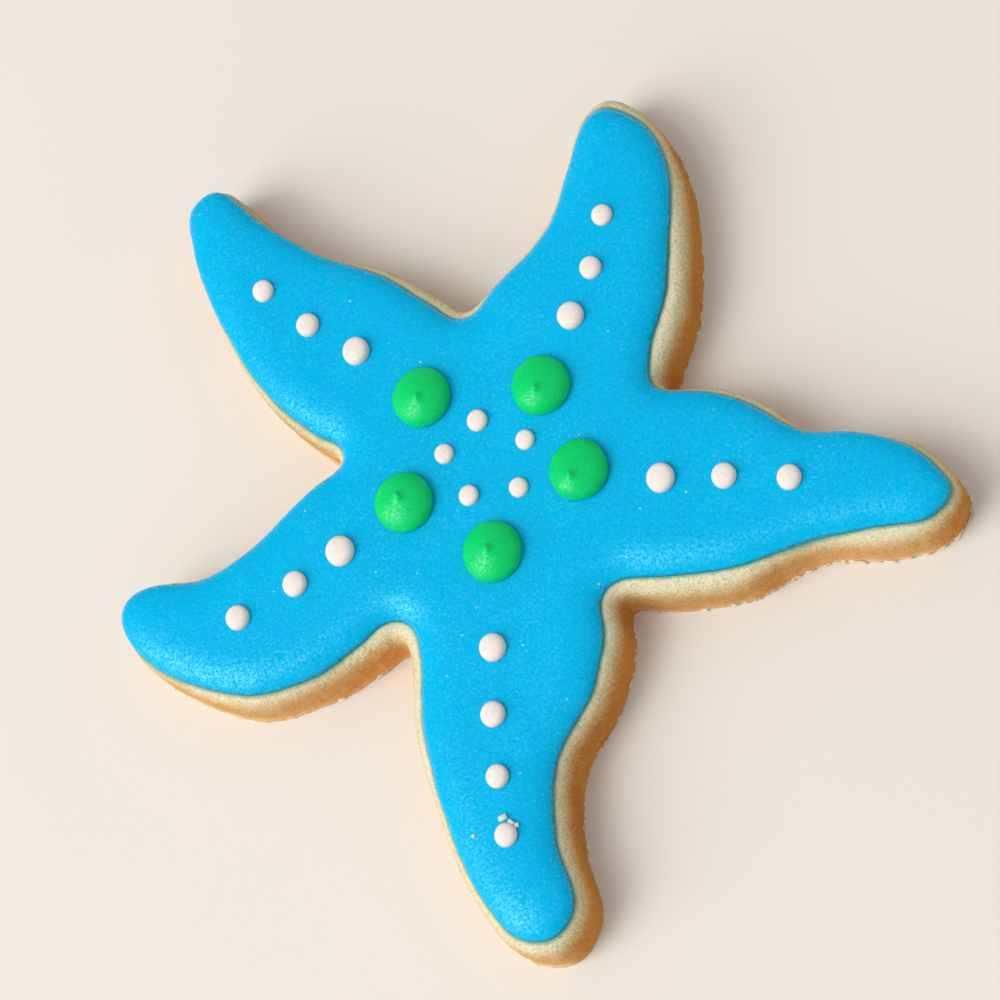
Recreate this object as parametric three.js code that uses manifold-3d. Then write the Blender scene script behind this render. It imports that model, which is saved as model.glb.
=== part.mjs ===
// Iced sugar cookie cut as a starfish, lying flat with its icing up.
//
// Millimetres, +Z up. The cookie is laid out round the middle of its ring of green dots,
// and then moved so that the origin is under the middle of its box, on the face it rests on.

import * as THREE from 'three';
import { mergeVertices } from 'three/addons/utils/BufferGeometryUtils.js';
import Module from 'manifold-3d';

// The biscuit: its thickness, and how its edge is rounded over at the top and at the bottom
const biscuitThickness = 7.6;
const topRounding = { across: 1.7, high: 2.4 };
const bottomRounding = { across: 0.3, high: 0.35 };

// The icing: how far its top stands above the biscuit, its upright lip, how wide its swelling
// edge is and how square that is, where 2 is a quarter oval, and the seam below each layer
const icingHeight = 1.8;
const icingLip = 0.2;
const icingEdgeWidth = 4.5;
const icingSquareness = 2.05;
const seam = 0.12;

// The green dots: domes piped last, a touch longer one way than the other, each with the small
// peak that the nozzle leaves
const greenRadius = 3.37;
const greenLength = 1.045;
const greenHeight = 2.2;
const peakRadius = 0.5;
const peakHeight = 0.45;

// The white dots: small beads sunk a little into the icing, their height a share of their radius
const beadSink = 0.3;
const beadHeightShare = 0.8;

// How much of the room inside its narrow ends an edge takes up, and how fast that room may grow
const roomShare = 0.9;
const roomSlope = 0.35;

// How finely curves are divided. A bend of one radian gets as many outline points as this length.
const outlinePoints = 232;
const bendLength = 10;
const fineStepsPerStation = 40;
const biscuitEdgeSteps = 3;
const icingEdgeSteps = 5;
const greenDivisions = { sides: 24, steps: 7 };
const beadDivisions = { sides: 12, steps: 3 };

// The arms, anticlockwise. Each has the bearing of its axis in degrees and its outline, out
// along one side and back along the other: distance out along the axis, distance to the left
// of it, and width of the bare rim there. Then comes the notch before the next arm, and the
// arm's white dots: bearing, distance from the middle, and for a dot its radius or for a
// notch its rim.
const arms = [
  {
    bearing: 352.5,
    outline: [
      [22.0, -13.8, 1.9], [30.3, -11.9, 1.7], [34.0, -9.35, 0.8], [38.3, -7.4, 0.6],
      [45.3, -6.8, 1.7], [50.4, -5.0, 1.1], [52.75, -2.0, 0.75], [52.85, 0.3, 0.85],
      [51.4, 2.2, 1.1], [47.3, 5.0, 1.1], [40.6, 5.9, 0.6], [35.5, 5.9, 0.8],
      [30.1, 8.9, 1.45], [24.9, 10.5, 1.35],
    ],
    notch: [21.5, 21.1, 1.1],
    dots: [[349, 20.3, 1.64], [351, 27.4, 1.43], [351.5, 34.7, 1.41]],
  },
  {
    bearing: 72,
    outline: [
      [16.5, -15.9, 1.9], [23.1, -16.0, 2.2], [30.8, -13.85, 1.9], [38.6, -10.2, 0.9],
      [43.7, -5.3, 1.2], [45.2, 0.4, 1.9], [42.7, 3.0, 1.7], [35.2, 2.8, 1.2],
      [28.2, 3.4, 1.4], [20.7, 7.0, 1.2],
    ],
    notch: [98, 19.5, 2.0],
    dots: [[58.5, 18.8, 1.57], [60.5, 24.7, 1.29], [64, 30.8, 1.24]],
  },
  {
    bearing: 134,
    outline: [
      [19.3, -10.1, 1.7], [26.9, -8.2, 1.4], [34.7, -4.5, 0.7], [42.2, -2.8, 0.5],
      [50.1, -1.8, 0.7], [50.7, 2.6, 0.8], [45.9, 6.5, 0.7], [37.4, 10.0, 0.7],
      [26.7, 12.5, 0.9], [18.5, 12.0, 0.9],
    ],
    notch: [172, 18.5, 1.2],
    dots: [[137, 21.1, 1.59], [139.5, 28.0, 1.36], [139.5, 35.2, 1.26]],
  },
  {
    bearing: 200,
    outline: [
      [20.3, -7.1, 0.9], [29.1, -3.5, 0.8], [35.2, -2.6, 1.0], [41.2, -4.4, 1.0],
      [46.2, -2.4, 0.5], [45.5, 3.6, 0.45], [41.6, 9.4, 0.8], [35.1, 14.3, 1.15],
      [27.4, 15.2, 0.85], [20.8, 14.4, 1.6],
    ],
    notch: [240, 21.8, 2.0],
    dots: [[208, 19.3, 1.7], [209, 25.6, 1.45], [208.5, 33.1, 1.41]],
  },
  {
    bearing: 276,
    outline: [
      [19.9, -12.1, 1.65], [28.9, -12.4, 1.65], [39.1, -10.5, 1.1], [48.5, -7.6, 1.2],
      [54.7, -3.2, 1.2], [55.5, 1.9, 1.3], [51.3, 5.1, 1.2], [43.1, 4.0, 1.2],
      [35.2, 5.1, 1.15], [28.7, 9.7, 1.2], [21.9, 12.2, 1.4],
    ],
    notch: [311, 21.7, 1.4],
    dots: [[272, 21.6, 1.55], [271.5, 29.1, 1.44], [272, 36.1, 1.31], [273, 42.7, 1.3]],
  },
];

// The rings in the middle: bearing and distance of each green dot and how far its peak stands
// off its middle, and bearing, distance and radius of each small white one
const greenRing = [
  [52, 10.3, -0.1, -0.9], [133, 11.1, 0.05, -0.65], [203, 10.4, -0.1, 0.1],
  [274, 10.7, -0.05, -0.25], [349, 10.9, -0.5, -1.15],
];
const whiteRing = [[24, 4.9, 1.12], [103, 4.9, 1.22], [166, 5.1, 1.14], [242, 4.4, 1.18], [317, 5.1, 1.12]];

const biscuitMaterial = new THREE.MeshStandardMaterial({ color: 0xd3ab6e, roughness: 0.9, metalness: 0 });
const blueMaterial = new THREE.MeshStandardMaterial({ color: 0x08b4ea, roughness: 0.45, metalness: 0 });
const greenMaterial = new THREE.MeshStandardMaterial({ color: 0x07c468, roughness: 0.4, metalness: 0 });

// A point at a bearing in degrees and a distance from the middle
function polar(bearing, distance) {
  const angle = THREE.MathUtils.degToRad(bearing);
  return new THREE.Vector2(Math.cos(angle), Math.sin(angle)).multiplyScalar(distance);
}

// The stations of the whole outline, with the rim's width as the third coordinate
function outlineStations() {
  return arms.flatMap(({ bearing, outline, notch }) => {
    const out = polar(bearing, 1);
    const left = polar(bearing + 90, 1);
    const sides = outline.map(([along, aside, rim]) => {
      const point = out.clone().multiplyScalar(along).addScaledVector(left, aside);
      return new THREE.Vector3(point.x, point.y, rim);
    });
    const notchPoint = polar(notch[0], notch[1]);
    return [...sides, new THREE.Vector3(notchPoint.x, notchPoint.y, notch[2])];
  });
}

// The points of a closed line that divide it evenly by its length and its bends together
function thinned(points, count) {
  let travel = 0;
  const travelled = points.map((point, i) => {
    const stepIn = point.clone().sub(points.at(i - 1));
    const stepOut = points[(i + 1) % points.length].clone().sub(point);
    travel += stepIn.length() + bendLength * stepIn.angleTo(stepOut);
    return travel;
  });
  return Array.from({ length: count }, (_, k) => {
    const target = (travel * (k + 0.5)) / count;
    return points[travelled.findIndex((reached) => reached >= target)];
  });
}

// Each point of a closed outline with the direction that leads straight in from there
function facingIn(points) {
  return points.map((point, i) => {
    const before = points.at(i - 1);
    const after = points[(i + 1) % points.length];
    const inward = new THREE.Vector2(before.y - after.y, after.x - before.x).normalize();
    return { place: new THREE.Vector2(point.x, point.y), inward, rim: point.z };
  });
}

// The radius of the largest circle that touches the outline at one of its points from inside
function roomInside(outline, { place, inward }) {
  let room = Infinity;
  for (const other of outline) {
    const across = other.place.clone().sub(place);
    const ahead = across.dot(inward);
    if (ahead > 1e-6) room = Math.min(room, across.lengthSq() / (2 * ahead));
  }
  return room;
}

// The room at every point, which grows no faster than roomSlope away from the narrow ends
function measureRoom(outline) {
  const rooms = outline.map((point) => roomInside(outline, point));
  for (const point of outline) {
    point.room = Math.min(...outline.map(({ place }, i) => {
      return rooms[i] + roomSlope * place.distanceTo(point.place);
    }));
  }
}

// The outline moved in by a distance, less where the shape is too narrow for it, at a height
function ring(outline, inset, z = 0) {
  return outline.map(({ place, inward, room }) => {
    const reach = roomShare * room;
    const point = place.clone().addScaledVector(inward, reach * Math.tanh(inset / reach));
    return new THREE.Vector3(point.x, point.y, z);
  });
}

// A closed body through rings from the bottom up, each with the same number of points,
// shut by a flat face at both ends
function loft(rings) {
  const count = rings[0].length;
  const index = [];
  for (let level = 0; level + 1 < rings.length; level += 1) {
    for (let i = 0; i < count; i += 1) {
      const a = level * count + i;
      const b = level * count + (i + 1) % count;
      index.push(a, b, b + count, a, b + count, a + count);
    }
  }
  const flat = (points) => points.map(({ x, y }) => new THREE.Vector2(x, y));
  const top = (rings.length - 1) * count;
  for (const [a, b, c] of THREE.ShapeUtils.triangulateShape(flat(rings[0]), [])) index.push(a, c, b);
  for (const [a, b, c] of THREE.ShapeUtils.triangulateShape(flat(rings.at(-1)), [])) {
    index.push(top + a, top + b, top + c);
  }
  const geometry = new THREE.BufferGeometry().setFromPoints(rings.flat());
  geometry.setIndex(index);
  return geometry;
}

// A rounded edge from its foot, at no distance in or up, to its top, at 1 in and 1 up
function roundedEdge(steps, squareness) {
  return Array.from({ length: steps + 1 }, (_, step) => {
    const angle = (Math.PI / 2) * (step / steps);
    const inward = 1 - Math.cos(angle) ** (2 / squareness);
    return { inward, upward: Math.sin(angle) ** (2 / squareness) };
  });
}

// The biscuit: a flat underside, an edge rounded over below and above, and a flat top
function biscuitGeometry(outline) {
  const edge = roundedEdge(biscuitEdgeSteps, 2);
  const lower = edge.toReversed().map(({ inward, upward }) => {
    return ring(outline, bottomRounding.across * inward, bottomRounding.high * (1 - upward));
  });
  const shoulder = biscuitThickness - topRounding.high;
  const upper = edge.map(({ inward, upward }) => {
    return ring(outline, topRounding.across * inward, shoulder + topRounding.high * upward);
  });
  return loft([...lower, ...upper]);
}

// The height of the biscuit's top at a distance in from its outline
function biscuitHeight(inset) {
  const fromFlat = Math.max(1 - inset / topRounding.across, 0);
  return biscuitThickness - topRounding.high * (1 - Math.sqrt(1 - fromFlat ** 2));
}

// The icing: an underside that follows the biscuit, an upright lip, and an edge that swells
// up to the level top
function icingGeometry(outline) {
  const underside = [1, 0.5, 0].map((share) => {
    const inset = share * topRounding.across;
    return ring(outline, inset).map((point, i) => {
      return point.setZ(seam + biscuitHeight(outline[i].rim + inset));
    });
  });
  const lipTop = biscuitThickness + icingLip;
  const edge = roundedEdge(icingEdgeSteps, icingSquareness).map(({ inward, upward }) => {
    return ring(outline, icingEdgeWidth * inward, lipTop + (icingHeight - icingLip) * upward);
  });
  return loft([...underside, ...edge]);
}

// A dome turned round the Z axis, on a straight foot of the given depth below its widest circle
function domeGeometry(radius, height, foot, { sides, steps }) {
  const arc = roundedEdge(steps, 2).map(({ inward, upward }) => {
    return new THREE.Vector2(radius * (1 - inward), height * upward);
  });
  arc.at(-1).x = 0;
  const underside = [new THREE.Vector2(0, -foot), new THREE.Vector2(radius, -foot)];
  return new THREE.LatheGeometry([...underside, ...arc], sides).rotateX(Math.PI / 2);
}

// A green dot: a dome whose crown is drawn up into a small peak and leans over
function greenDotGeometry(leanX, leanY) {
  const geometry = domeGeometry(greenRadius, greenHeight, seam, greenDivisions);
  const position = geometry.attributes.position;
  const point = new THREE.Vector3();
  for (let i = 0; i < position.count; i += 1) {
    point.fromBufferAttribute(position, i);
    const share = Math.max(point.z, 0) / greenHeight;
    const peak = Math.exp(-((Math.hypot(point.x, point.y) / peakRadius) ** 2));
    point.z += peakHeight * peak * share;
    point.x += leanX * share ** 3;
    point.y += leanY * share ** 3;
    position.setXYZ(i, point.x, point.y * greenLength, point.z);
  }
  return geometry;
}

const wasm = await Module();
wasm.setup();

// A geometry as a manifold-3d solid
function solidOf(geometry) {
  const bare = geometry.clone();
  bare.deleteAttribute('normal');
  bare.deleteAttribute('uv');
  const merged = mergeVertices(bare, 1e-4);
  const vertProperties = new Float32Array(merged.attributes.position.array);
  const triVerts = new Uint32Array(merged.index.array);
  return new wasm.Manifold(new wasm.Mesh({ numProp: 3, vertProperties, triVerts }));
}

// A manifold-3d solid as a geometry
function geometryOf(solid) {
  const { vertProperties, triVerts } = solid.getMesh();
  const geometry = new THREE.BufferGeometry();
  geometry.setAttribute('position', new THREE.BufferAttribute(vertProperties, 3));
  geometry.setIndex(new THREE.BufferAttribute(triVerts, 1));
  return geometry;
}

// The icing with every white dot joined to it
function icingWithBeads(outline) {
  let solid = solidOf(icingGeometry(outline));
  const beads = [...arms.flatMap(({ dots }) => dots), ...whiteRing];
  for (const [bearing, distance, radius] of beads) {
    const { x, y } = polar(bearing, distance);
    const bead = domeGeometry(radius, beadHeightShare * radius, beadSink, beadDivisions);
    bead.translate(x, y, biscuitThickness + icingHeight);
    solid = solid.add(solidOf(bead));
  }
  return geometryOf(solid);
}

function namedMesh(name, geometry, material) {
  geometry.computeVertexNormals();
  const mesh = new THREE.Mesh(geometry, material);
  mesh.name = name;
  return mesh;
}

// The outline of the biscuit, and that of the icing inside its rim
const stations = outlineStations();
const curve = new THREE.CatmullRomCurve3(stations, true, 'centripetal');
const finePoints = curve.getPoints(stations.length * fineStepsPerStation).slice(0, -1);
const biscuitOutline = facingIn(thinned(finePoints, outlinePoints));
const icingOutline = facingIn(biscuitOutline.map(({ place, inward, rim }) => {
  const point = place.clone().addScaledVector(inward, rim);
  return new THREE.Vector3(point.x, point.y, rim);
}));
for (const outline of [biscuitOutline, icingOutline]) measureRoom(outline);

const cookie = new THREE.Group();
cookie.add(namedMesh('biscuit', biscuitGeometry(biscuitOutline), biscuitMaterial));
cookie.add(namedMesh('blue_icing', icingWithBeads(icingOutline), blueMaterial));
greenRing.forEach(([bearing, distance, leanX, leanY], i) => {
  const dot = namedMesh(`green_dot_${i + 1}`, greenDotGeometry(leanX, leanY), greenMaterial);
  const { x, y } = polar(bearing, distance);
  dot.position.set(x, y, biscuitThickness + icingHeight + 2 * seam);
  cookie.add(dot);
});

const middle = new THREE.Box3().setFromObject(cookie).getCenter(new THREE.Vector3());
cookie.position.set(-middle.x, -middle.y, 0);

export default cookie;
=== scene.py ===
# Iced sugar cookie cut as a starfish: baked dough, flood icing, piped dots, crumbs and a few crystals of
# sugar. Shapes are worked out in millimetres round the middle of the ring of green dots, with z up from the
# table, and each finished piece is put into the frame's metres in one go.

import math
import random

import bmesh
import bpy
import numpy as np
from mathutils import Matrix, Vector, noise


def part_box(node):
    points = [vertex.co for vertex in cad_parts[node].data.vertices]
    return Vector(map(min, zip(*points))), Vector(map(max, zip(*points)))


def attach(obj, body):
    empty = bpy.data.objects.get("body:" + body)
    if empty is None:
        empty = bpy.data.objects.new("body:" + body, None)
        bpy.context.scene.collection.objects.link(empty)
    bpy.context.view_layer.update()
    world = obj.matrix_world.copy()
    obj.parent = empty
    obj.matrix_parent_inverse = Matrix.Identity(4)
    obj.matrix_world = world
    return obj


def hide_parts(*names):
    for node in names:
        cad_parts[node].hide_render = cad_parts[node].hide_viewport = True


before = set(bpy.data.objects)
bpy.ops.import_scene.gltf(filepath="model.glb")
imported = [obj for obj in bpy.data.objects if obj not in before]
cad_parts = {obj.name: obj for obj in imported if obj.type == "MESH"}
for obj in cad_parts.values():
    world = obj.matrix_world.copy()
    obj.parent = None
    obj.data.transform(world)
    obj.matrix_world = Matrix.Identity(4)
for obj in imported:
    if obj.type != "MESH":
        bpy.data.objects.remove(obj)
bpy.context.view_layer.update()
mm = 0.001

# Going anticlockwise. Each arm has the bearing of its axis in degrees and its outline, out along one side
# and back along the other, as (out along the axis, left of it, bare rim) in mm; then the notch before the
# next arm as (bearing, distance, bare rim), and its white dots as (bearing, distance, radius).
arms = [
    {
        "bearing": 352.5,
        "outline": [
            (22.0, -13.8, 1.9), (30.3, -11.9, 1.7), (34.0, -9.35, 0.8), (38.3, -7.4, 0.6),
            (45.3, -6.8, 1.7), (50.4, -5.0, 1.1), (52.75, -2.0, 0.75), (52.85, 0.3, 0.85),
            (51.4, 2.2, 1.0), (47.3, 5.0, 0.9), (40.6, 5.9, 0.45), (35.5, 5.9, 0.65),
            (30.1, 8.9, 1.2), (24.9, 10.5, 1.1),
        ],
        "notch": (22.3, 20.9, 0.8),
        "dots": [(349, 20.3, 1.64), (351, 27.4, 1.43), (351.5, 34.7, 1.41)],
    },
    {
        "bearing": 72,
        "outline": [
            (16.5, -15.9, 1.95), (23.1, -16.0, 2.3), (30.8, -13.85, 2.0), (38.6, -10.2, 0.9),
            (43.7, -5.3, 1.2), (45.2, 0.4, 1.8), (42.4, 2.9, 1.35), (35.3, 2.9, 0.85),
            (28.2, 3.4, 1.2), (20.7, 7.0, 0.9),
        ],
        "notch": (100.2, 19.5, 1.6),
        "dots": [(58.5, 18.8, 1.57), (60.5, 24.7, 1.29), (64, 30.8, 1.24)],
    },
    {
        "bearing": 134,
        "outline": [
            (19.3, -10.1, 1.6), (26.9, -8.2, 1.2), (34.7, -4.5, 0.7), (42.2, -2.8, 0.5),
            (50.1, -1.8, 0.6), (50.7, 2.6, 0.6), (45.9, 6.5, 0.55), (37.4, 10.0, 0.6),
            (26.7, 12.5, 0.85), (18.5, 12.0, 0.9),
        ],
        "notch": (172, 18.5, 1.1),
        "dots": [(137, 21.1, 1.59), (139.5, 28.0, 1.36), (139.5, 35.2, 1.26)],
    },
    {
        "bearing": 200,
        "outline": [
            (20.3, -7.1, 0.7), (29.1, -3.5, 0.6), (35.2, -2.6, 0.75), (41.2, -4.4, 0.75),
            (44.8, -4.0, 0.5), (46.6, -1.7, 0.45), (45.8, 3.6, 0.45), (41.7, 9.4, 0.8),
            (35.1, 14.3, 1.1), (27.4, 15.2, 0.8), (20.8, 14.4, 1.3),
        ],
        "notch": (240, 21.8, 1.9),
        "dots": [(208, 19.3, 1.7), (209, 25.6, 1.45), (208.5, 33.1, 1.41)],
    },
    {
        "bearing": 276,
        "outline": [
            (19.9, -12.1, 1.75), (28.9, -12.4, 1.65), (39.1, -10.5, 1.1), (48.5, -7.6, 1.2),
            (54.7, -3.2, 1.2), (55.5, 1.9, 1.3), (51.3, 5.1, 1.1), (43.1, 4.0, 1.25),
            (35.2, 5.1, 1.2), (28.7, 9.7, 1.3), (21.9, 12.2, 1.5),
        ],
        "notch": (311, 21.7, 1.55),
        "dots": [(272, 21.6, 1.55), (271.5, 29.1, 1.44), (272, 36.1, 1.31), (273, 42.7, 1.3)],
    },
]


def polar(bearing, distance):
    angle = math.radians(bearing)
    return Vector((math.cos(angle), math.sin(angle))) * distance


def relief(point, size, depth):
    # a third number that isn't the point's own height picks a stretch of the noise of its own
    return depth * noise.noise(Vector(point) / size)


# outline and layers, in mm
plan = {
    "curveSteps": 24,         # points of the drawn curve from one station to the next
    "outlineStep": 0.3,       # between neighbouring points of an outline
    "outlineSoftness": 6,     # smoothing passes over the drawn curve
    "roomShare": 0.85,        # how far an inset may reach into a narrow arm
    "roomSlope": 0.3,         # how fast the room may grow along the outline
    "rimWaver": ((4, 0.14), (1.3, 0.07)),    # size and depth of each unevenness of the bare rim
    "thickness": 7.6,         # of the dough
    "icingTop": 9.4,          # level that the icing settles to
}


def curveThrough(stations, steps):
    # centripetal Catmull-Rom: the knots are the square root of the distance apart
    t = (np.arange(steps) / steps)[:, None]
    points = []
    for i in range(len(stations)):
        a, b, c, d = (stations[(i + k) % len(stations)] for k in (-1, 0, 1, 2))
        before, here, after = (math.sqrt(np.linalg.norm(q - p)) for p, q in ((a, b), (b, c), (c, d)))
        leave = ((b - a) / before - (c - a) / (before + here) + (c - b) / here) * here
        arrive = ((c - b) / here - (d - b) / (here + after) + (d - c) / after) * here
        points.append((2 * t**3 - 3 * t**2 + 1) * b + (t**3 - 2 * t**2 + t) * leave
                      + (3 * t**2 - 2 * t**3) * c + (t**3 - t**2) * arrive)
    return np.concatenate(points)


def evenlySpaced(points, count):
    closed = np.vstack([points, points[:1]])
    along = np.concatenate([[0], np.cumsum(np.linalg.norm(np.diff(closed[:, :2], axis=0), axis=1))])
    wanted = np.arange(count) / count * along[-1]
    return np.stack([np.interp(wanted, along, closed[:, k]) for k in range(closed.shape[1])], axis=1)


def softened(points, passes):
    for _ in range(passes):
        points = (np.roll(points, 1, axis=0) + 2 * points + np.roll(points, -1, axis=0)) / 4
    return points


def outlineFrom(points, count):
    # each point has its place, its rim, the direction straight in, and the room there is that way
    points = softened(evenlySpaced(points, count), plan["outlineSoftness"])
    place = points[:, :2]
    run = np.roll(place, -1, axis=0) - np.roll(place, 1, axis=0)
    inward = np.stack([-run[:, 1], run[:, 0]], axis=1)
    inward /= np.linalg.norm(inward, axis=1)[:, None]
    across = place[None] - place[:, None]
    apart = np.linalg.norm(across, axis=2)
    ahead = (across * inward[:, None]).sum(axis=2)
    circle = np.where(ahead > 1e-6, apart**2 / (2 * np.maximum(ahead, 1e-6)), np.inf)
    room = circle.min(axis=1)
    room = (room[None] + plan["roomSlope"] * apart).min(axis=1)
    return {"place": place, "rim": points[:, 2], "inward": inward, "room": room}


def inset(outline, distance):
    # moved in, and less where the shape is too narrow for it
    reach = plan["roomShare"] * outline["room"]
    return outline["place"] + outline["inward"] * (reach * np.tanh(distance / reach))[:, None]


def armStations():
    for arm in arms:
        out, left = polar(arm["bearing"], 1), polar(arm["bearing"] + 90, 1)
        for along, aside, rim in arm["outline"]:
            yield (*(out * along + left * aside), rim)
        yield (*polar(*arm["notch"][:2]), arm["notch"][2])


drawn = curveThrough([np.array(station) for station in armStations()], plan["curveSteps"])
around = np.linalg.norm(np.diff(drawn[:, :2], axis=0), axis=1).sum()
pointCount = round(around / plan["outlineStep"])
doughOutline = outlineFrom(drawn, pointCount)
for size, depth in plan["rimWaver"]:
    doughOutline["rim"] += [relief((x, y, 9), size, depth) for x, y in doughOutline["place"]]
icingEdge = doughOutline["place"] + doughOutline["inward"] * doughOutline["rim"][:, None]
icingOutline = outlineFrom(np.column_stack([icingEdge, doughOutline["rim"]]), pointCount)
print(f"outlines: {pointCount} points over {around:.0f} mm")

# the green dots as (bearing, distance), and where the middle of their ring is in the frame
greenRing = [(52, 10.3), (133, 11.1), (203, 10.4), (274, 10.7), (349, 10.9)]
lowCorner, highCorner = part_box("green_dot_1")
ringMiddle = (lowCorner + highCorner) / 2 - polar(*greenRing[0]).to_3d() * mm
intoFrame = Matrix.Translation((ringMiddle.x, ringMiddle.y, 0)) @ Matrix.Scale(mm, 4)


def closedGrid(levels, markName, marks):
    # a grid bent round into a tube through the rings of points, in their order; each point is marked
    bm = bmesh.new()
    count = len(levels[0])
    bmesh.ops.create_grid(bm, x_segments=count, y_segments=len(levels) - 1, size=0.5)
    mark = bm.verts.layers.float.new(markName)
    for vert in bm.verts:
        column = round((vert.co.x + 0.5) * count) % count
        row = round((vert.co.y + 0.5) * (len(levels) - 1))
        vert.co = levels[row][column]
        vert[mark] = marks[row][column]
    bmesh.ops.remove_doubles(bm, verts=bm.verts, dist=1e-5)
    return bm


def addTo(bm, one):
    # joins a small shape to the piece that is being made
    scrap = bpy.data.meshes.new("scrap")
    one.to_mesh(scrap)
    one.free()
    bm.from_mesh(scrap)
    bpy.data.meshes.remove(scrap)


def openEdges(bm, isHere=lambda place: True):
    return [edge for edge in bm.edges if edge.is_boundary and isHere(edge.verts[0].co)]


def newObject(name, data):
    thing = bpy.data.objects.new(name, data)
    bpy.context.scene.collection.objects.link(thing)
    return thing


def finishPiece(bm, name, material, slot, *replaced):
    bmesh.ops.transform(bm, matrix=intoFrame, verts=bm.verts)
    bmesh.ops.recalc_face_normals(bm, faces=bm.faces)
    for face in bm.faces:
        face.smooth = True
    mesh = bpy.data.meshes.new(name)
    bm.to_mesh(mesh)
    bm.free()
    piece = newObject(name, mesh)
    mesh.materials.append(material)
    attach(piece, "root")
    if replaced:
        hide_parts(*replaced)
    print(f"{name}: {sum(len(face.vertices) - 2 for face in mesh.polygons)} triangles")


def linear(sRgb):
    parts = [int(sRgb[k:k + 2], 16) / 255 for k in (1, 3, 5)]
    return (*(c / 12.92 if c <= 0.04045 else ((c + 0.055) / 1.055) ** 2.4 for c in parts), 1)


def newMaterial(name):
    material = bpy.data.materials.new(name)
    material.use_nodes = True
    material.node_tree.nodes.clear()
    return material


def addNode(material, kind, settings=None, links=None, stops=None):
    # settings are attributes or input sockets by name, links are sockets by name or number
    node = material.node_tree.nodes.new("ShaderNode" + kind)
    for key, value in (settings or {}).items():
        if isinstance(key, str) and hasattr(node, key):
            setattr(node, key, value)
        else:
            node.inputs[key].default_value = value
    for key, socket in (links or {}).items():
        material.node_tree.links.new(socket, node.inputs[key])
    if stops:
        ramp = node.color_ramp
        while len(ramp.elements) < len(stops):
            ramp.elements.new(0.5)
        for element, (position, colour) in zip(ramp.elements, stops):
            element.position, element.color = position, colour
    return node


# Royal icing is icing sugar beaten with egg white. Flooded thin it dries to a smooth satin crust, frosted
# in patches where the finest sugar grains lie open; those lighter specks are partly painted sparkle. A few
# near-white specks are painted glints. Along its thin edge it is painted darker: partly the dough under the
# thin icing, partly painted shade where it meets the dough. The real grains are under a tenth of a
# millimetre, too fine to show, so they are drawn as coarse as they need to be.
blueLook = {
    "body": "#00BDF2", "deep": "#00B4EA", "frostAndSparkle": "#66CCF4", "paintedGlint": "#BDEFFF", "edge": "#00747F",
    "cloudSize": 14, "patchSize": 7, "grainSize": 0.35, "glintGap": 1.7, "edgeReach": 0.24,    # in mm
    "roughness": 0.25, "specular": 1.1, "sheen": "#B0FFFF",    # the gloss is on the grains that stand up
}


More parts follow.
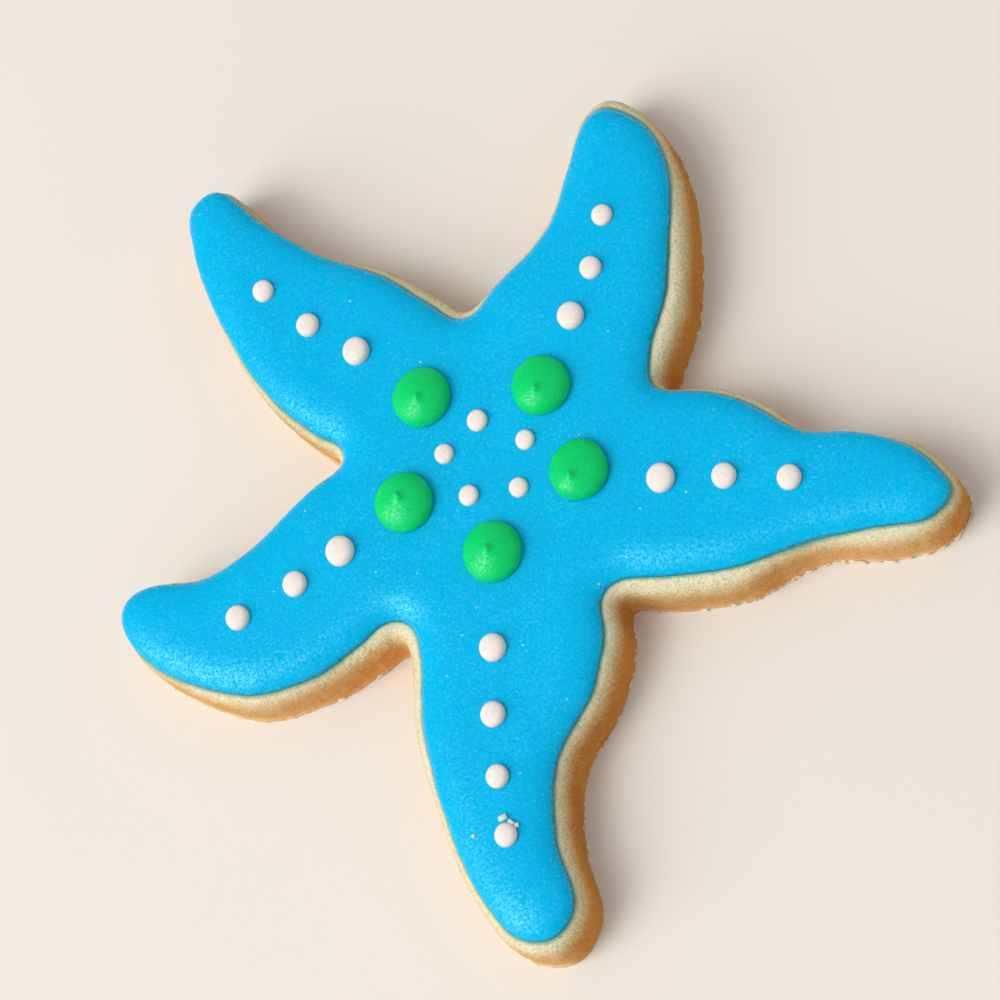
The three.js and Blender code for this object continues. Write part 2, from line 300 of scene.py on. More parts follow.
def floodIcing():
    look = blueLook
    m = newMaterial("blueFloodIcing")
    at = addNode(m, "TexCoord").outputs["Object"]
    cloud = addNode(m, "TexNoise", {"Scale": 1 / (look["cloudSize"] * mm), "Detail": 2.0}, {"Vector": at})
    body = addNode(m, "Mix", {"data_type": "RGBA", 6: linear(look["deep"]), 7: linear(look["body"])},
                   {0: cloud.outputs["Fac"]})
    # lighter frost specks in patches: open sugar grains, and partly painted sparkle
    patch = addNode(m, "TexNoise", {"Scale": 1 / (look["patchSize"] * mm), "Detail": 4.0}, {"Vector": at})
    dense = addNode(m, "MapRange", {"From Min": 0.4, "From Max": 0.66, "To Min": 0.06, "To Max": 0.4},
                    {"Value": patch.outputs["Fac"]})
    grain = addNode(m, "TexNoise",
                    {"Scale": 1 / (look["grainSize"] * mm), "Detail": 3.0, "Roughness": 0.65},
                    {"Vector": at})
    lying = addNode(m, "MapRange", {"From Min": 0.59, "From Max": 0.67}, {"Value": grain.outputs["Fac"]})
    frostAndSparkleMask = addNode(m, "Math", {"operation": "MULTIPLY"}, {0: lying.outputs[0], 1: dense.outputs[0]})
    frostAndSparkle = addNode(m, "Mix", {"data_type": "RGBA", 7: linear(look["frostAndSparkle"])},
                    {0: frostAndSparkleMask.outputs[0], 6: body.outputs[2]})
    uneven = addNode(m, "MapRange", {"From Min": 0.3, "From Max": 0.7, "To Min": 0.9, "To Max": 1.1},
                     {"Value": grain.outputs["Fac"]})
    mottled = addNode(m, "VectorMath", {"operation": "SCALE"},
                      {0: frostAndSparkle.outputs[2], "Scale": uneven.outputs[0]})
    # a few near-white specks painted into the colour: painted glints
    cells = addNode(m, "TexVoronoi", {"Scale": 1 / (look["glintGap"] * mm)}, {"Vector": at})
    near = addNode(m, "MapRange", {"From Min": 0.09, "From Max": 0.05},
                   {"Value": cells.outputs["Distance"]})
    lot = addNode(m, "SeparateColor", {}, {"Color": cells.outputs["Color"]})
    chosen = addNode(m, "MapRange", {"From Min": 0.7, "From Max": 1.0}, {"Value": lot.outputs["Red"]})
    paintedGlintMask = addNode(m, "Math", {"operation": "MULTIPLY"}, {0: near.outputs[0], 1: chosen.outputs[0]})
    colour = addNode(m, "Mix", {"data_type": "RGBA", 7: linear(look["paintedGlint"])},
                     {0: paintedGlintMask.outputs[0], 6: mottled.outputs[0]})
    # the thin edge painted darker teal: partly the dough under the thin icing, partly painted shade where
    # it meets the dough
    fromEdge = addNode(m, "Attribute", {"attribute_name": "fromEdge"})
    paintedEdgeShade = addNode(m, "MapRange", {"From Min": look["edgeReach"], "From Max": 0.0, "To Max": 0.75},
                   {"Value": fromEdge.outputs["Fac"]})
    withEdgeShade = addNode(m, "Mix", {"data_type": "RGBA", 7: linear(look["edge"])},
                    {0: paintedEdgeShade.outputs[0], 6: colour.outputs[2]})
    bump = addNode(m, "Bump", {"Strength": 1.0, "Distance": 0.042 * mm}, {"Height": grain.outputs["Fac"]})
    sparkle = addNode(m, "MapRange", {"From Min": 0.38, "From Max": 0.69, "To Max": look["specular"]},
                      {"Value": grain.outputs["Fac"]})
    shader = addNode(m, "BsdfPrincipled",
                     {"Roughness": look["roughness"], "Specular Tint": linear(look["sheen"])},
                     {"Base Color": withEdgeShade.outputs[2], "Normal": bump.outputs[0],
                      "Specular IOR Level": sparkle.outputs[0]})
    addNode(m, "OutputMaterial", {}, {"Surface": shader.outputs[0]})
    return m


# The same icing beaten stiffer for piping: it holds the dome and the tip that the nozzle leaves, and the
# light goes a little way in. The foot of each dot is painted darker, and warmer on the white ones: painted
# shade. Its grain is drawn coarser than the real one as well.
pipedLook = {
    "green": {"foot": "#00B452", "body": "#00D46A", "pale": "#00DE76", "glow": (0.0, 0.6, 0.2),
              "roughness": 0.36, "specular": 1.0, "sheen": "#D8ECFF"},
    "white": {"foot": "#E6C9B2", "body": "#F0E4DC", "pale": "#F4ECE7", "glow": (1.0, 0.6, 0.4),
              "roughness": 0.55, "specular": 0.5, "sheen": "#FFFFFF"},
    "cloudSize": 1.5, "grainSize": 0.28, "glowDepth": 0.3,    # in mm
    # the foot colour below these heights is painted shade
    "footShadeHigh": (9.2, 9.8),    # heights between which the foot gives way to the body
}


def pipedIcing(name):
    look = pipedLook[name]
    m = newMaterial(name + "PipedIcing")
    at = addNode(m, "TexCoord").outputs["Object"]
    cloud = addNode(m, "TexNoise", {"Scale": 1 / (pipedLook["cloudSize"] * mm), "Detail": 3.0},
                    {"Vector": at})
    body = addNode(m, "Mix", {"data_type": "RGBA", 6: linear(look["body"]), 7: linear(look["pale"])},
                   {0: cloud.outputs["Fac"]})
    split = addNode(m, "SeparateXYZ", {}, {"Vector": at})
    # the foot of each dot painted darker, and warmer on the white ones: painted shade
    low, high = pipedLook["footShadeHigh"]
    up = addNode(m, "MapRange", {"From Min": low * mm, "From Max": high * mm},
                 {"Value": split.outputs["Z"]})
    withPaintedFootShade = addNode(m, "Mix", {"data_type": "RGBA", 6: linear(look["foot"])},
                    {0: up.outputs[0], 7: body.outputs[2]})
    grain = addNode(m, "TexNoise", {"Scale": 1 / (pipedLook["grainSize"] * mm), "Detail": 3.0},
                    {"Vector": at})
    uneven = addNode(m, "MapRange", {"From Min": 0.3, "From Max": 0.7, "To Min": 0.93, "To Max": 1.07},
                     {"Value": grain.outputs["Fac"]})
    colour = addNode(m, "VectorMath", {"operation": "SCALE"},
                     {0: withPaintedFootShade.outputs[2], "Scale": uneven.outputs[0]})
    bump = addNode(m, "Bump", {"Strength": 1.0, "Distance": 0.03 * mm}, {"Height": grain.outputs["Fac"]})
    sparkle = addNode(m, "MapRange", {"From Min": 0.34, "From Max": 0.7, "To Max": look["specular"]},
                      {"Value": grain.outputs["Fac"]})
    shader = addNode(m, "BsdfPrincipled",
                     {"Roughness": look["roughness"], "Specular Tint": linear(look["sheen"]),
                      "Subsurface Weight": 0.12, "Subsurface Radius": look["glow"],
                      "Subsurface Scale": pipedLook["glowDepth"] * mm},
                     {"Base Color": colour.outputs[0], "Normal": bump.outputs[0],
                      "Specular IOR Level": sparkle.outputs[0]})
    addNode(m, "OutputMaterial", {}, {"Surface": shader.outputs[0]})
    return m


# Rolled sugar dough, baked on a tray: floury and pale on top, golden down the cut side, and lighter again
# low down and at the thin torn foot, which is partly painted light against the shade near the table; with a
# fine dry crumb all over. The sides that face +x are painted darker and browner: painted shade and painted
# brown reflected light. Beside the icing its dye has crept in.
doughLook = {
    # as shares of its thickness, from the underside up
    # the low stops are lifted lighter: partly painted light against the shade near the table
    "heights": [(0.0, "#ECCC9C"), (0.07, "#E8C08A"), (0.13, "#EAB472"), (0.3, "#E2AC66"), (0.55, "#DCAB64"),
                (0.78, "#E0C28C"), (0.92, "#E2DAB4"), (1.0, "#E3DEBC")],
    "toasted": "#B06F28", "rightSideShade": "#ECC878", "flour": "#F5EFD8", "pit": "#B5804F", "dyed": "#68A884",
    "toastSize": 9, "crumbSize": 0.28, "pitSize": 0.7, "dyeReach": 0.42, "unevenSize": 3,    # in mm
    "roughness": 0.85,
}


def bakedDough():
    look = doughLook
    m = newMaterial("bakedSugarDough")
    at = addNode(m, "TexCoord").outputs["Object"]
    split = addNode(m, "SeparateXYZ", {}, {"Vector": at})
    uneven = addNode(m, "TexNoise", {"Scale": 1 / (look["unevenSize"] * mm), "Detail": 4.0}, {"Vector": at})
    shift = addNode(m, "MapRange", {"To Min": -0.5 * mm, "To Max": 0.5 * mm},
                    {"Value": uneven.outputs["Fac"]})
    height = addNode(m, "Math", {"operation": "ADD"}, {0: split.outputs["Z"], 1: shift.outputs[0]})
    level = addNode(m, "MapRange", {"From Min": 0.0, "From Max": plan["thickness"] * mm},
                    {"Value": height.outputs[0]})
    baked = addNode(m, "ValToRGB", {}, {"Fac": level.outputs[0]},
                    [(stop, linear(colour)) for stop, colour in look["heights"]])
    toast = addNode(m, "TexNoise", {"Scale": 1 / (look["toastSize"] * mm), "Detail": 3.0}, {"Vector": at})
    where = addNode(m, "MapRange", {"From Min": 0.5, "From Max": 0.78, "To Min": 0.0, "To Max": 0.5},
                    {"Value": toast.outputs["Fac"]})
    side = addNode(m, "MapRange", {"From Min": 1.0, "From Max": 0.6}, {"Value": level.outputs[0]})
    toasting = addNode(m, "Math", {"operation": "MULTIPLY"}, {0: where.outputs[0], 1: side.outputs[0]})
    darker = addNode(m, "Mix", {"data_type": "RGBA", 7: linear(look["toasted"])},
                     {0: toasting.outputs[0], 6: baked.outputs[0]})
    # sides that face +x are painted darker and browner: painted shade and painted brown reflected light
    facing = addNode(m, "SeparateXYZ", {}, {"Vector": addNode(m, "NewGeometry").outputs["Normal"]})
    facingRight = addNode(m, "MapRange", {"From Min": 0.15, "From Max": 0.75}, {"Value": facing.outputs["X"]})
    rightSideShadeMask = addNode(m, "Math", {"operation": "MULTIPLY"}, {0: facingRight.outputs[0], 1: side.outputs[0]})
    rightSideShade = addNode(m, "Mix", {"data_type": "RGBA", "blend_type": "MULTIPLY", 7: linear(look["rightSideShade"])},
                      {0: rightSideShadeMask.outputs[0], 6: darker.outputs[2]})
    crumb = addNode(m, "TexNoise", {"Scale": 1 / (look["crumbSize"] * mm), "Detail": 3.0, "Roughness": 0.6},
                    {"Vector": at})
    topside = addNode(m, "MapRange", {"From Min": 0.45, "From Max": 0.9, "To Min": 0.2, "To Max": 0.65},
                      {"Value": level.outputs[0]})
    lying = addNode(m, "MapRange", {"From Min": 0.52, "From Max": 0.68}, {"Value": crumb.outputs["Fac"]})
    floury = addNode(m, "Math", {"operation": "MULTIPLY"}, {0: lying.outputs[0], 1: topside.outputs[0]})
    dusted = addNode(m, "Mix", {"data_type": "RGBA", 7: linear(look["flour"])},
                     {0: floury.outputs[0], 6: rightSideShade.outputs[2]})
    deep = addNode(m, "MapRange", {"From Min": 0.46, "From Max": 0.32}, {"Value": crumb.outputs["Fac"]})
    pitting = addNode(m, "Math", {"operation": "MULTIPLY", 1: 0.5}, {0: deep.outputs[0]})
    pitted = addNode(m, "Mix", {"data_type": "RGBA", 7: linear(look["pit"])},
                     {0: pitting.outputs[0], 6: dusted.outputs[2]})
    fromIcing = addNode(m, "Attribute", {"attribute_name": "fromIcing"})
    crept = addNode(m, "MapRange", {"interpolation_type": "SMOOTHSTEP", "From Min": look["dyeReach"],
                                    "From Max": -0.05, "To Max": 0.8},
                    {"Value": fromIcing.outputs["Fac"]})
    colour = addNode(m, "Mix", {"data_type": "RGBA", 7: linear(look["dyed"])},
                     {0: crept.outputs[0], 6: pitted.outputs[2]})
    pits = addNode(m, "TexNoise", {"Scale": 1 / (look["pitSize"] * mm), "Detail": 4.0}, {"Vector": at})
    both = addNode(m, "Math", {"operation": "ADD"}, {0: crumb.outputs["Fac"], 1: pits.outputs["Fac"]})
    bump = addNode(m, "Bump", {"Strength": 1.0, "Distance": 0.14 * mm}, {"Height": both.outputs[0]})
    shader = addNode(m, "BsdfPrincipled", {"Roughness": look["roughness"], "Specular IOR Level": 0.2},
                     {"Base Color": colour.outputs[2], "Normal": bump.outputs[0]})
    addNode(m, "OutputMaterial", {}, {"Surface": shader.outputs[0]})
    return m


# The torn scraps of that dough are thin and dry out before they brown, so they stay pale.
crumbLook = {"shade": "#EBC9A2", "light": "#FBEFDF", "mottleSize": 0.8, "roughness": 0.8}


def dryCrumb():
    look = crumbLook
    m = newMaterial("dryDoughCrumb")
    at = addNode(m, "TexCoord").outputs["Object"]
    mottle = addNode(m, "TexNoise", {"Scale": 1 / (look["mottleSize"] * mm), "Detail": 3.0}, {"Vector": at})
    sharper = addNode(m, "MapRange", {"From Min": 0.35, "From Max": 0.65}, {"Value": mottle.outputs["Fac"]})
    colour = addNode(m, "Mix", {"data_type": "RGBA", 6: linear(look["shade"]), 7: linear(look["light"])},
                     {0: sharper.outputs[0]})
    bump = addNode(m, "Bump", {"Strength": 0.5, "Distance": 0.05 * mm}, {"Height": mottle.outputs["Fac"]})
    shader = addNode(m, "BsdfPrincipled", {"Roughness": look["roughness"], "Specular IOR Level": 0.25},
                     {"Base Color": colour.outputs[2], "Normal": bump.outputs[0]})
    addNode(m, "OutputMaterial", {}, {"Surface": shader.outputs[0]})
    return m


# Coarse brown sugar: clear crystals under a thin film of molasses. These few stuck while the icing was wet.
# They are painted pale and greenish: the blue icing under them, painted in as if seen through them.
sugarLook = {"film": "#D9EFDD", "clear": "#F6FFF4", "filmSize": 0.5, "roughness": 0.3, "through": 0.15}


def brownSugar():
    look = sugarLook
    m = newMaterial("brownSugarCrystal")
    at = addNode(m, "TexCoord").outputs["Object"]
    film = addNode(m, "TexNoise", {"Scale": 1 / (look["filmSize"] * mm), "Detail": 2.0}, {"Vector": at})
    colour = addNode(m, "Mix", {"data_type": "RGBA", 6: linear(look["film"]), 7: linear(look["clear"])},
                     {0: film.outputs["Fac"]})
    shader = addNode(m, "BsdfPrincipled",
                     {"Roughness": look["roughness"], "IOR": 1.54, "Transmission Weight": look["through"]},
                     {"Base Color": colour.outputs[2]})
    addNode(m, "OutputMaterial", {}, {"Surface": shader.outputs[0]})
    return m


doughMaterial, crumbMaterial, blueMaterial = bakedDough(), dryCrumb(), floodIcing()
greenMaterial, whiteMaterial, sugarMaterial = pipedIcing("green"), pipedIcing("white"), brownSugar()
print("materials made")

dough = {
    "wallBack": 0.08,         # how far the side stands behind the outline, which the foot reaches
    "wallStart": 0.72,        # height at which the side leaves the foot
    "shoulderAcross": 1.7, "shoulderHigh": 2.4,
    "belly": 0.1,             # how far the side swells at its middle
    "wallSteps": 14, "shoulderSteps": 12,
    "waver": (9.0, 0.1),      # size and depth of the unevenness of the cut
    "crumb": (1.5, 0.09),
    "fineCrumb": (0.7, 0.05),
    "footOut": 0.1,           # the thin foot that squeezes out under the cutter, at its widest
    "footShare": 0.55,        # how much of that there is on the whole
    "footRun": (8.0, 1.6),    # how long the stretches are where it is wide or missing, and how unlike
    "torn": (1.0, 0.14),      # size and depth of the tears along it
}


def doughTopAt(distanceIn):
    fromFlat = np.clip(1 - (distanceIn - dough["wallBack"]) / dough["shoulderAcross"], 0, 1)
    return plan["thickness"] - dough["shoulderHigh"] * (1 - np.sqrt(1 - fromFlat**2))


def doughProfile():
    # (inset, height, lean of the surface from upright in degrees, share of the foot), from the underside up
    thick, back, start = plan["thickness"], dough["wallBack"], dough["wallStart"]
    shoulder = thick - dough["shoulderHigh"]
    underside = [(3.0, 0, -90, 0), (1.8, 0, -90, 0), (1.0, 0, -90, 0), (0.4, 0, -90, 0.5)]
    foot = [(0.02, 0, 0, 0.9), (0, 0.12, 0, 1), (0, 0.28, 0, 1), (0.02, 0.42, 0, 0.7), (0.06, 0.56, 0, 0.3)]
    side = []
    for k in range(dough["wallSteps"]):
        up = k / dough["wallSteps"]
        belly = dough["belly"] * math.sin(math.pi * up)
        side.append((back - belly, start + (shoulder - start) * up, 0, 0))
    for a in np.radians(np.linspace(0, 90, dough["shoulderSteps"])):
        side.append((back + dough["shoulderAcross"] * (1 - math.cos(a)),
                     shoulder + dough["shoulderHigh"] * math.sin(a), math.degrees(a), 0))
    return underside + foot + side + [(2.5, thick, 90, 0), (3.5, thick, 90, 0)]


def footAt(x, y, height):
    # wide along some stretches and gone from others, with a torn edge
    spread = min(max(dough["footShare"] + relief((x, y, 2.0), *dough["footRun"]), 0), 1)
    return max(spread * (dough["footOut"] + relief((x, y, height), *dough["torn"])), 0)


def doughRing(distanceIn, height, lean, footShare):
    # the relief pushes sideways, upwards or between the two, as the surface leans
    if distanceIn > 0:
        places = inset(doughOutline, distanceIn)
    else:
        places = doughOutline["place"] + doughOutline["inward"] * distanceIn
    outShare, upShare = math.cos(math.radians(lean)), math.sin(math.radians(lean))
    ring = []
    for (x, y), inward in zip(places, doughOutline["inward"]):
        point = (x, y, height)
        push = sum(relief(point, *dough[kind]) for kind in ("waver", "crumb", "fineCrumb"))
        out = push * outShare + (footShare * footAt(x, y, height) if footShare else 0)
        ring.append(Vector((x - inward[0] * out, y - inward[1] * out, max(height + push * upShare, 0))))
    return ring


def makeDough():
    profile = doughProfile()
    fromIcing = [doughOutline["rim"] - ring[0] for ring in profile]    # how far out of its edge, in mm
    bm = closedGrid([doughRing(*ring) for ring in profile], "fromIcing", fromIcing)
    bmesh.ops.holes_fill(bm, edges=openEdges(bm), sides=0)
    finishPiece(bm, "baked_dough", doughMaterial, "biscuit", "biscuit")


makeDough()

icing = {
    "lip": 7.65,              # height of the top of the upright lip
    "tuck": 0.14,             # how far its foot draws in under it
    "sunk": 0.1,              # how far its underside lies in the dough
    "edgeWidth": 4.5,         # how far in the surface takes to level off
    "squareness": 2.05,       # 2 is a quarter oval
    "swell": (16.0, 0.07),    # size and depth of the broad unevenness of the top
    "cell": 0.6,              # size of the mesh across the top
}


def smoothDistance(points):
    # the distance to a straight edge, which rounds off where an arm is narrow, as the flooded icing does
    edge = icingOutline["place"]
    step = np.linalg.norm(np.roll(edge, -1, axis=0) - edge, axis=1)
    found, atOnce = [], 2000    # few enough points at once for the memory
    for start in range(0, len(points), atOnce):
        apart = ((points[start:start + atOnce, None] - edge[None]) ** 2).sum(axis=2)
        found.append((math.pi / 2 / (step / np.maximum(apart, 1e-4) ** 2).sum(axis=1)) ** (1 / 3))
    return np.concatenate(found)


def riseAt(distanceIn):
    share = np.clip(distanceIn / icing["edgeWidth"], 0, 1)
    return (1 - (1 - share) ** icing["squareness"]) ** (1 / icing["squareness"])


def icingTopAt(points):
    points = np.atleast_2d(np.asarray(points, float))
    rise = riseAt(smoothDistance(points))
    swell = np.array([relief((x, y, 0), *icing["swell"]) for x, y in points])
    return icing["lip"] + (plan["icingTop"] - icing["lip"]) * rise + swell * rise


def icingRings():
    # the rings, from the underside out and up over the lip, and how far in from the edge each lies
    under = doughTopAt(icingOutline["rim"])
    rings, depths = [], []
    for distanceIn in (3.0, 1.2, 0.5):
        resting = doughTopAt(icingOutline["rim"] + distanceIn) - icing["sunk"]
        rings.append(np.column_stack([inset(icingOutline, distanceIn), resting]))
        depths.append(distanceIn)
    lip = [(icing["tuck"], -0.05), (0.08, 0.18), (0.0, 0.42), (0.0, 0.75), (0.03, 1.0)]
    for distanceIn, up in lip:
        height = under + (icing["lip"] - under) * up
        rings.append(np.column_stack([inset(icingOutline, distanceIn), height]))
        depths.append(0)
    for distanceIn in (0.12, 0.28, 0.5, 0.8, 1.15, 1.55, 2.0):
        places = inset(icingOutline, distanceIn)
        nearEdge = icing["lip"] + (plan["icingTop"] - icing["lip"]) * riseAt(distanceIn)
        blend = min(distanceIn, 1)    # over the first millimetre
        rings.append(np.column_stack([places, nearEdge * (1 - blend) + icingTopAt(places) * blend]))
        depths.append(distanceIn)
    return rings, [[depth] * pointCount for depth in depths]


def latticed(bm, face, cell):
    # cuts a flat face along both ways into cells
    geometry = [face, *face.edges, *face.verts]
    for axis in (0, 1):
        spans = [vert.co[axis] for vert in geometry if isinstance(vert, bmesh.types.BMVert)]
        normal = Vector((1, 0, 0)) if axis == 0 else Vector((0, 1, 0))
        for k in range(math.ceil(min(spans) / cell), math.floor(max(spans) / cell) + 1):
            geometry = bmesh.ops.bisect_plane(bm, geom=geometry, dist=1e-4, plane_co=normal * k * cell,
                                              plane_no=normal)["geom"]
    return [part for part in geometry if isinstance(part, bmesh.types.BMVert)]


def makeIcing():
    rings, depths = icingRings()
    bm = closedGrid([[Vector(point) for point in ring] for ring in rings], "fromEdge", depths)
    top = openEdges(bm, lambda place: place.z > icing["lip"])
    bottom = openEdges(bm, lambda place: place.z < icing["lip"])
    bmesh.ops.holes_fill(bm, edges=bottom, sides=0)
    cap = bmesh.ops.holes_fill(bm, edges=top, sides=0)["faces"][0]
    border = set(cap.verts)
    inside = [vert for vert in latticed(bm, cap, icing["cell"]) if vert not in border]
    for vert, height in zip(inside, icingTopAt([vert.co.xy for vert in inside])):
        vert.co.z = height
    cutAcross = [face for face in bm.faces if len(face.verts) > 4 and face.normal.z > 0]
    bmesh.ops.triangulate(bm, faces=cutAcross)
    finishPiece(bm, "blue_flood_icing", blueMaterial, "blue_icing", "blue_icing")


makeIcing()

# the foot of a piped dot draws in under its widest circle: shares of its radius and of its height
dotFoot = [(0.975, -0.1), (0.91, -0.2)]

dome = {
    "radius": 3.37, "longer": 1.045, "height": 2.15,    # a touch longer one way than the other
    "sunk": 0.12,                             # how far its foot lies in the icing
    "fullness": 2.5,                          # 2 is a true oval, more is fuller at the shoulder
    "pointed": 0.25,                          # how far the crown goes from that to a plain cone
    "tipHeight": 0.42, "tipRadius": 0.42,
    "ridgeDepth": 0.015, "ridgeGap": 0.42,    # the faint rings that the turning bag leaves
    "waver": (4, 0.03), "apart": 29.2,        # unevenness of its circle, and from one dot's to the next's
    "rings": 34, "sides": 84,
    # where each dot's tip stands off the middle of the dot
    "tips": [(-0.1, -0.9), (0.05, -0.65), (-0.1, 0.1), (-0.05, -0.25), (-0.5, -1.15)],
}


def domeProfile(radius, height, fullness, rings):
    # from the crown down to the foot
    turns = np.radians(np.linspace(0, 90, rings))
    power = 2 / fullness
    arc = [(radius * math.sin(a) ** power, height * max(math.cos(a), 0) ** power) for a in turns]
    return arc + [(radius * across, height * up) for across, up in dotFoot]


def turned(bm, profile, sides):
    verts = [bm.verts.new((x, 0, z)) for x, z in profile]
    edges = [bm.edges.new(pair) for pair in zip(verts, verts[1:])]
    bmesh.ops.spin(bm, geom=verts + edges, cent=(0, 0, 0), axis=(0, 0, 1), angle=2 * math.pi, steps=sides,
                   use_merge=True, use_duplicate=False)
    bmesh.ops.remove_doubles(bm, verts=bm.verts, dist=1e-4)
    bmesh.ops.holes_fill(bm, edges=openEdges(bm), sides=0)


def makeGreenDot(number, bearing, distance):
    bm = bmesh.new()
    turned(bm, domeProfile(dome["radius"], dome["height"], dome["fullness"], dome["rings"]), dome["sides"])
    tipX, tipY = dome["tips"][number - 1]
    middle = polar(bearing, distance)
    for vert in bm.verts:
        share = max(vert.co.z, 0) / dome["height"]
        out = vert.co.xy.length
        if share > 0:
            cone = dome["height"] * (1 - out / dome["radius"])
            vert.co.z += dome["pointed"] * (cone - vert.co.z)
        ridge = dome["ridgeDepth"] * math.cos(2 * math.pi * out / dome["ridgeGap"]) * math.exp(-out)
        tip = dome["tipHeight"] * math.exp(-(out / dome["tipRadius"]) ** 2)
        vert.co.z += tip * share + ridge * share
        vert.co.x += tipX * share**3
        vert.co.y += tipY * share**3
        waver = 1 + relief((vert.co.x, vert.co.y, number * dome["apart"]), *dome["waver"])
        vert.co.x *= waver
        vert.co.y *= waver * dome["longer"]
    level = icingTopAt([middle])[0] - dome["sunk"] - dotFoot[-1][1] * dome["height"]
    bmesh.ops.translate(bm, verts=bm.verts, vec=(middle.x, middle.y, level))
    finishPiece(bm, f"green_piped_dot_{number}", greenMaterial, "green_icing", f"green_dot_{number}")


for number, (bearing, distance) in enumerate(greenRing, start=1):
    makeGreenDot(number, bearing, distance)

bead = {
    "seed": 21,
    "heightShare": 0.7, "uneven": (0.94, 1.06),    # height over radius, and how it varies
    "fullness": 3.0, "sunk": 0.12, "stretch": (0.97, 1.03),
    "tipHeight": 0.05, "tipRadius": 0.3, "tipDrift": 0.12,
    "rings": 18, "sides": 44,
    # the five inside the green ones, as (bearing, distance, radius)
    "ring": [(24, 4.9, 1.12), (103, 4.9, 1.22), (166, 5.1, 1.14), (242, 4.4, 1.18), (317, 5.1, 1.12)],
}


def makeWhiteDots():
    draw = random.Random(bead["seed"])
    bm = bmesh.new()
    for bearing, distance, radius in [dot for arm in arms for dot in arm["dots"]] + bead["ring"]:
        one = bmesh.new()
        height = radius * bead["heightShare"] * draw.uniform(*bead["uneven"])
        turned(one, domeProfile(radius, height, bead["fullness"], bead["rings"]), bead["sides"])
        middle = polar(bearing, distance)
        tipX, tipY = (draw.uniform(-bead["tipDrift"], bead["tipDrift"]) for _ in range(2))
        for vert in one.verts:
            share = max(vert.co.z, 0) / height
            vert.co.z += bead["tipHeight"] * math.exp(-(vert.co.xy.length / bead["tipRadius"]) ** 2) * share
            vert.co.x = (vert.co.x + tipX * share**2) * bead["stretch"][0]
            vert.co.y = (vert.co.y + tipY * share**2) * bead["stretch"][1]
        level = icingTopAt([middle])[0] - bead["sunk"] - dotFoot[-1][1] * height
        bmesh.ops.translate(one, verts=one.verts, vec=(middle.x, middle.y, level))
        addTo(bm, one)
    finishPiece(bm, "white_piped_dots", whiteMaterial, "white_icing", "blue_icing")


makeWhiteDots()

sugar = {
    "seed": 5,
    # (bearing, distance, length, width, turn in degrees) of the crystals that stuck to the icing
    "stuck": [(272.7, 40.75, 0.95, 0.6, 20), (273.9, 41.35, 0.75, 0.5, -35),
              (274.7, 41.75, 0.55, 0.45, 10), (268.0, 42.5, 0.45, 0.35, 50)],
    "uneven": (0.88, 1.1), "worn": 0.14,    # as shares of a crystal's size
    "tilt": 0.25, "lift": 0.35,             # radians, and the share of its width that its middle is up
}


def grainOf(size, turn, place, draw):
    # a block of sugar with its edges worn
    one = bmesh.new()
    bmesh.ops.create_cube(one, size=1)
    for vert in one.verts:
        vert.co = Vector(c * s * draw.uniform(*sugar["uneven"]) for c, s in zip(vert.co, size))
    bmesh.ops.bevel(one, geom=one.edges, offset=min(size) * sugar["worn"], offset_type="OFFSET",
                    affect="EDGES", segments=1, profile=0.5, material=-1)
    tilt = draw.uniform(-sugar["tilt"], sugar["tilt"])
    spin = Matrix.Rotation(math.radians(turn), 3, "Z") @ Matrix.Rotation(tilt, 3, "X")
    bmesh.ops.rotate(one, verts=one.verts, cent=(0, 0, 0), matrix=spin)
    bmesh.ops.translate(one, verts=one.verts, vec=place)
    return one


def makeSugar():
    draw = random.Random(sugar["seed"])
    bm = bmesh.new()
    for bearing, distance, length, width, turn in sugar["stuck"]:
        middle = polar(bearing, distance)
        place = (*middle, icingTopAt([middle])[0] + sugar["lift"] * width)
        addTo(bm, grainOf((length, width, width), turn, place, draw))
    finishPiece(bm, "sugar_crystals", sugarMaterial, "sugar")


makeSugar()

crumbs = {
    "seed": 12,
    "flakes": 150, "flakeLong": (0.4, 1.5), "flakeDeep": (0.2, 0.4), "flakeHigh": (0.12, 0.28),
    "bits": 130, "bitSize": (0.14, 0.34),
    "run": 9.0,                                # length of the stretches with many and with few
    "cover": 0.25, "contrast": 0.55,           # more cover leaves fewer gaps, more contrast wider ones
    "ragged": 0.5,                             # how far from round they are
    "reach": 0.2, "reachShares": (-0.3, 1),    # how far out of the outline they cling
    "turn": 0.25, "lift": 0.3,                 # radians off the outline's run, and height of the highest
    # more of them where the foot tore most: between these bearings, and from this far out
    "torn": 26, "tornAlong": (332, 352), "tornFrom": 26, "tornSize": (0.7, 1.9),
}


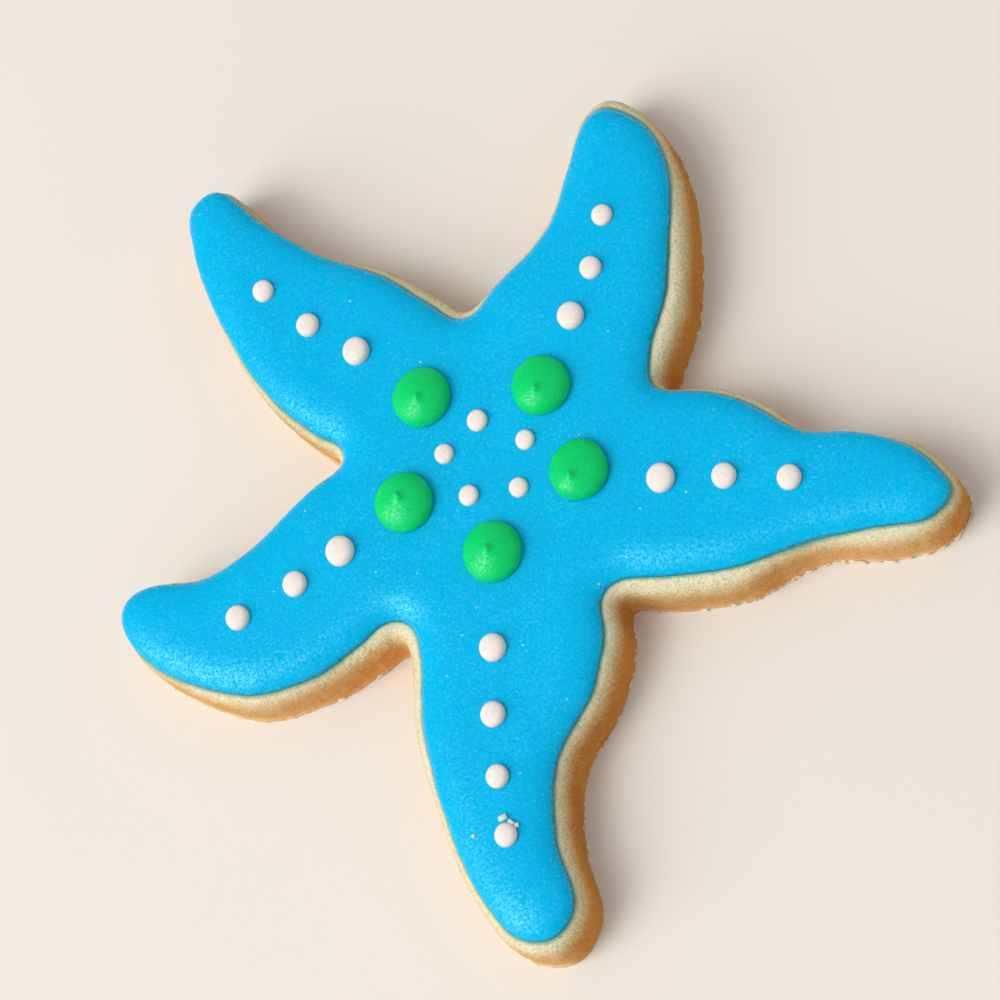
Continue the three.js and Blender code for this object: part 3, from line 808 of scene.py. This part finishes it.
def makeCrumbs():
    # torn flakes and bits that cling along the foot
    draw = random.Random(crumbs["seed"])
    bm = bmesh.new()
    made = 0
    first, last = crumbs["tornAlong"]
    while made < crumbs["torn"] + crumbs["flakes"] + crumbs["bits"]:
        i = draw.randrange(pointCount)
        (x, y), inward = doughOutline["place"][i], doughOutline["inward"][i]
        if made < crumbs["torn"]:
            bearing = math.degrees(math.atan2(y, x)) % 360
            if not first < bearing < last or math.hypot(x, y) < crumbs["tornFrom"] or inward[1] < 0:
                continue
        elif relief((x, y, 28), crumbs["run"], 1) + crumbs["cover"] < draw.uniform(0, crumbs["contrast"]):
            continue
        made += 1
        if made <= crumbs["torn"] + crumbs["flakes"]:
            size = [draw.uniform(*crumbs[kind]) for kind in ("flakeLong", "flakeDeep", "flakeHigh")]
        else:
            size = [draw.uniform(*crumbs["bitSize"]) for _ in range(3)]
        if made <= crumbs["torn"]:
            size[0] = draw.uniform(*crumbs["tornSize"])
        one = bmesh.new()
        bmesh.ops.create_icosphere(one, subdivisions=1, radius=0.5)
        for vert in one.verts:
            vert.co *= 1 + crumbs["ragged"] * noise.noise(vert.co * 3 + Vector((made, 0, 0)))
        bmesh.ops.scale(one, verts=one.verts, vec=size)
        along = math.atan2(-inward[0], inward[1]) + draw.uniform(-crumbs["turn"], crumbs["turn"])
        bmesh.ops.rotate(one, verts=one.verts, cent=(0, 0, 0), matrix=Matrix.Rotation(along, 3, "Z"))
        out = crumbs["reach"] * draw.uniform(*crumbs["reachShares"])
        up = draw.uniform(0, crumbs["lift"]) - min(vert.co.z for vert in one.verts)
        bmesh.ops.translate(one, verts=one.verts, vec=(x - inward[0] * out, y - inward[1] * out, up))
        addTo(bm, one)
    finishPiece(bm, "baked_crumbs", crumbMaterial, "biscuit")


makeCrumbs()

# Painted board, rolled matt: an even pale tone with the faintest mottling, of so many mottles to a metre.
tableLook = {"shade": "#E6E2DB", "light": "#ECE8E1", "mottles": 6.0, "roughness": 0.9}
tableHalf = 1.5    # m


def paleBoard():
    look = tableLook
    m = newMaterial("paleBoard")
    at = addNode(m, "TexCoord").outputs["Object"]
    mottle = addNode(m, "TexNoise", {"Scale": look["mottles"], "Detail": 3.0}, {"Vector": at})
    colour = addNode(m, "Mix", {"data_type": "RGBA", 6: linear(look["shade"]), 7: linear(look["light"])},
                     {0: mottle.outputs["Fac"]})
    shader = addNode(m, "BsdfPrincipled", {"Roughness": look["roughness"], "Specular IOR Level": 0.2},
                     {"Base Color": colour.outputs[2]})
    addNode(m, "OutputMaterial", {}, {"Surface": shader.outputs[0]})
    return m


def makeTable():
    bm = bmesh.new()
    bmesh.ops.create_grid(bm, x_segments=1, y_segments=1, size=tableHalf)
    mesh = bpy.data.meshes.new("table")
    bm.to_mesh(mesh)
    bm.free()
    mesh.materials.append(paleBoard())
    table = newObject("table", mesh)


makeTable()

# a window to the left and the pale wall beside it; an even white room does the rest
studio = {
    "lights": {    # (direction, width and height in metres, watts, colour)
        "window": ((-0.417, -0.236, 0.878), (0.6, 0.8), 6.6, "#FFFDFA"),
        "wall": ((-0.65, -0.44, 0.62), (1.13, 1.13), 12.6, "#FFFDFA"),
    },
    "distance": 1.5,    # from the middle of the ring to each light, in metres
    "roomColour": "#FFFFFF", "roomStrength": 0.5,
}


def addLight(name, direction, size, watts, colour):
    data = bpy.data.lights.new(name, "AREA")
    data.shape, data.energy, data.color = "RECTANGLE", watts, linear(colour)[:3]
    data.size, data.size_y = size
    lamp = newObject(name, data)
    towards = Vector(direction).normalized()
    lamp.location = ringMiddle.xy.to_3d() + towards * studio["distance"]
    lamp.rotation_euler = towards.to_track_quat("Z", "Y").to_euler()


for name, light in studio["lights"].items():
    addLight(name, *light)

world = bpy.data.worlds.new("studio")
bpy.context.scene.world = world
world.use_nodes = True
room = world.node_tree.nodes["Background"]
room.inputs["Color"].default_value = linear(studio["roomColour"])
room.inputs["Strength"].default_value = studio["roomStrength"]
world.cycles_visibility.glossy = False    # the room is too even to mirror in the icing

# looks down on the icing, leaning to the lower right; the aim is the middle of the green ring
view = {
    "lean": 24.0, "bearing": -47.0, "distance": 450.0,    # degrees off upright, which way, and mm away
    "pixelsPerMm": 9.0, "frame": 1000,                    # scale, and width of the picture in pixels
    "aimAt": (487, 461),                                  # pixel that the aim is at
    "sensor": 36.0, "clip": (0.01, 20),                   # mm, and metres
}


def makeCamera():
    lean, bearing = math.radians(view["lean"]), math.radians(view["bearing"])
    back = Vector((math.sin(lean) * math.cos(bearing), math.sin(lean) * math.sin(bearing), math.cos(lean)))
    up = (Vector((0, 1, 0)) - back * back.y).normalized()
    right = up.cross(back)
    focal = view["pixelsPerMm"] * view["distance"]
    half = view["frame"] / 2
    aside, above = (view["aimAt"][0] - half) / focal, (half - view["aimAt"][1]) / focal
    aim = Vector((ringMiddle.x, ringMiddle.y, plan["icingTop"] * mm))
    data = bpy.data.cameras.new("camera")
    data.sensor_width, data.lens = view["sensor"], view["sensor"] * focal / view["frame"]
    data.clip_start, data.clip_end = view["clip"]
    camera = newObject("camera", data)
    place = aim - (right * aside + up * above - back) * view["distance"] * mm
    camera.matrix_world = Matrix.Translation(place) @ Matrix((right, up, back)).transposed().to_4x4()
    bpy.context.scene.camera = camera


makeCamera()
bpy.context.scene.view_settings.view_transform = "Standard"
bpy.context.scene.view_settings.look = "None"
print("table, lights and camera placed")
